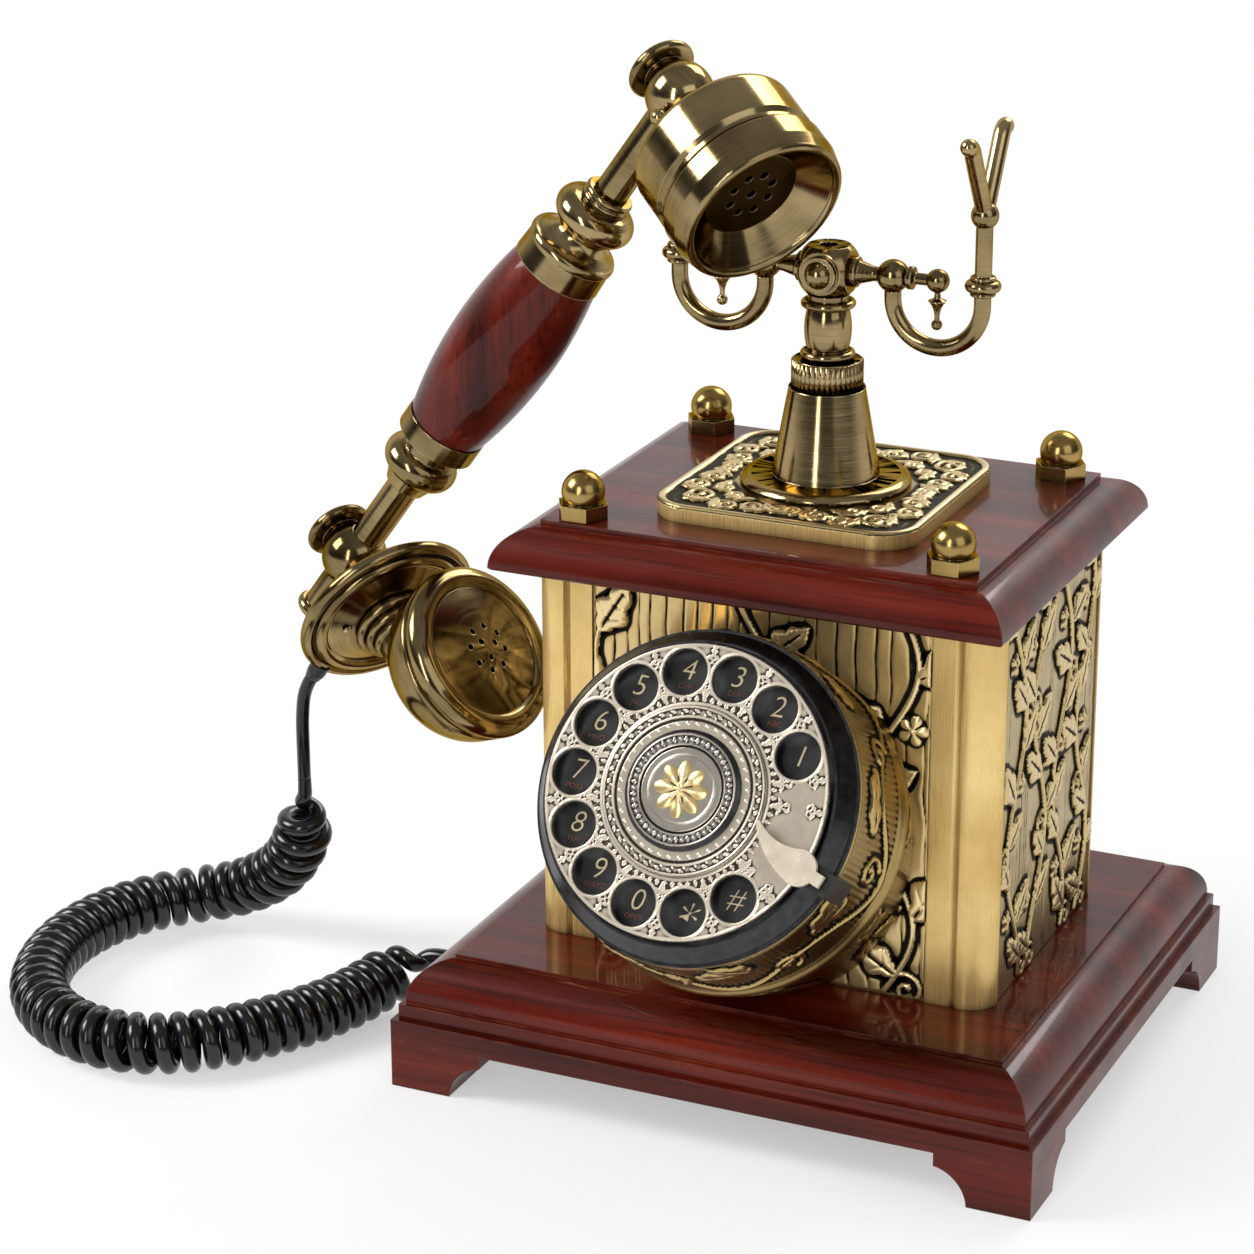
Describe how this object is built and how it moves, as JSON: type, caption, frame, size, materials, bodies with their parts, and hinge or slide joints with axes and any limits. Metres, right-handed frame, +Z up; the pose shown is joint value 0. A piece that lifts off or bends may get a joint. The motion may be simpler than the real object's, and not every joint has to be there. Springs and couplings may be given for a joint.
{
  "type": "rotary telephone",
  "caption": "Antique-style rotary desk telephone: wooden plinth, relief brass cabinet, sloping dial, sprung cradle with forks, lift-off handset and curly cord.",
  "frame": {"origin": "floor level, under the middle of the telephone with its handset on, cord left out", "axes": "+Z up, the dial faces -Y, +X to the right seen from the front"},
  "size_m": [0.3407, 0.2143, 0.3003],
  "materials": {
    "mahogany": "gloss lacquer over red-brown stain",
    "relief_brass": "cast relief with dark patina",
    "antique_brass": "brushed antique finish",
    "dark_grille": "dark patina",
    "dial_silver": "satin pewter",
    "dial_black": "satin black",
    "steel": "plain",
    "gear_brass": "machined",
    "black_plastic": "moulded",
    "green_board": "solder mask",
    "cord_black": "smooth jacket"
  },
  "bodies": {
    "base": {"base_frame": "mahogany", "base_board": "mahogany", "bracket_feet": "mahogany", "bottom_cover": "black_plastic", "cover_screws": "steel", "front_panel": "relief_brass", "back_panel": "relief_brass", "left_panel": "relief_brass", "right_panel": "relief_brass", "corner_posts": "relief_brass", "top_cap": "mahogany", "tie_rods": "steel", "acorn_nuts": "antique_brass", "rod_nuts": "steel", "cord_sockets": "black_plastic", "cradle_plate": "relief_brass", "cradle_cone": "antique_brass", "knurled_collar": "antique_brass", "plunger_spring": "steel", "hook_switch": "black_plastic", "dial_housing": "relief_brass", "dial_bezel": "dial_black", "number_plate": "dial_black", "mechanism_plate": "steel", "stop_bracket": "dial_black", "circuit_board": "green_board", "ringer_sounder": "black_plastic", "cord_lead": "cord_black", "cord_coil": "cord_black", "cord_plug": "black_plastic"},
    "cradle": {"cradle_column": "antique_brass", "cradle_hub": "antique_brass", "cradle_arms": "antique_brass", "cradle_drops": "antique_brass", "fork_left": "antique_brass", "fork_right": "antique_brass", "plunger": "steel"},
    "hook_lever": {"hook_lever": "steel"},
    "dial": {"finger_wheel": "dial_silver", "centre_cap": "antique_brass", "dial_shaft": "steel", "dial_gear": "gear_brass"},
    "pulse_gear": {"pulse_gear": "gear_brass"},
    "finger_stop": {"finger_stop": "dial_silver"},
    "handset": {"ear_joint": "antique_brass", "ear_can": "antique_brass", "ear_cap": "antique_brass", "ear_grille": "dark_grille", "receiver_capsule": "black_plastic", "handset_tube": "antique_brass", "upper_ferrule": "antique_brass", "grip": "mahogany", "lower_ferrule": "antique_brass", "mouth_joint": "antique_brass", "mouth_disc": "antique_brass", "mouth_bell": "antique_brass", "mouth_grille": "dark_grille", "microphone": "black_plastic", "cord_gland": "black_plastic"}
  },
  "joints": [
    {"name": "cradle_rise", "type": "slide", "parent": "base", "child": "cradle", "axis": [0, 0, 1], "range_m": [0, 0.004], "stiffness_N_per_m": 300, "springref_m": 0.01, "deforming": ["plunger_spring"]},
    {"name": "hook_lever_tilt", "type": "hinge", "parent": "base", "child": "hook_lever", "pos_m": [0.05479, 0.01628, 0.1455], "axis": [0, 1, 0], "range_deg": [0, 11.6]},
    {"name": "dial_spin", "type": "hinge", "parent": "base", "child": "dial", "pos_m": [0.03779, -0.08442, 0.1159], "axis": [0, -0.8545, 0.5195], "range_deg": [-330, 0], "stiffness_Nm_per_rad": 0.006, "springref_deg": 45.84},
    {"name": "pulse_gear_spin", "type": "hinge", "parent": "base", "child": "pulse_gear", "pos_m": [0.06054, -0.08442, 0.1159], "axis": [0, -0.8545, 0.5195], "range_deg": [0, 826]},
    {"name": "finger_stop_press", "type": "slide", "parent": "base", "child": "finger_stop", "axis": [0, 0.8545, -0.5195], "range_m": [0, 0.0012], "stiffness_N_per_m": 600, "springref_m": -0.0015},
    {"name": "handset_lift", "type": "slide", "parent": "cradle", "child": "handset", "axis": [0, -0.4472, 0.8944], "range_m": [0, 0.06]}
  ],
  "couplings": [
    {"joint": "hook_lever_tilt", "follows": "cradle_rise", "rad_per_m": 50},
    {"joint": "pulse_gear_spin", "follows": "dial_spin", "ratio": -2.5}
  ]
}
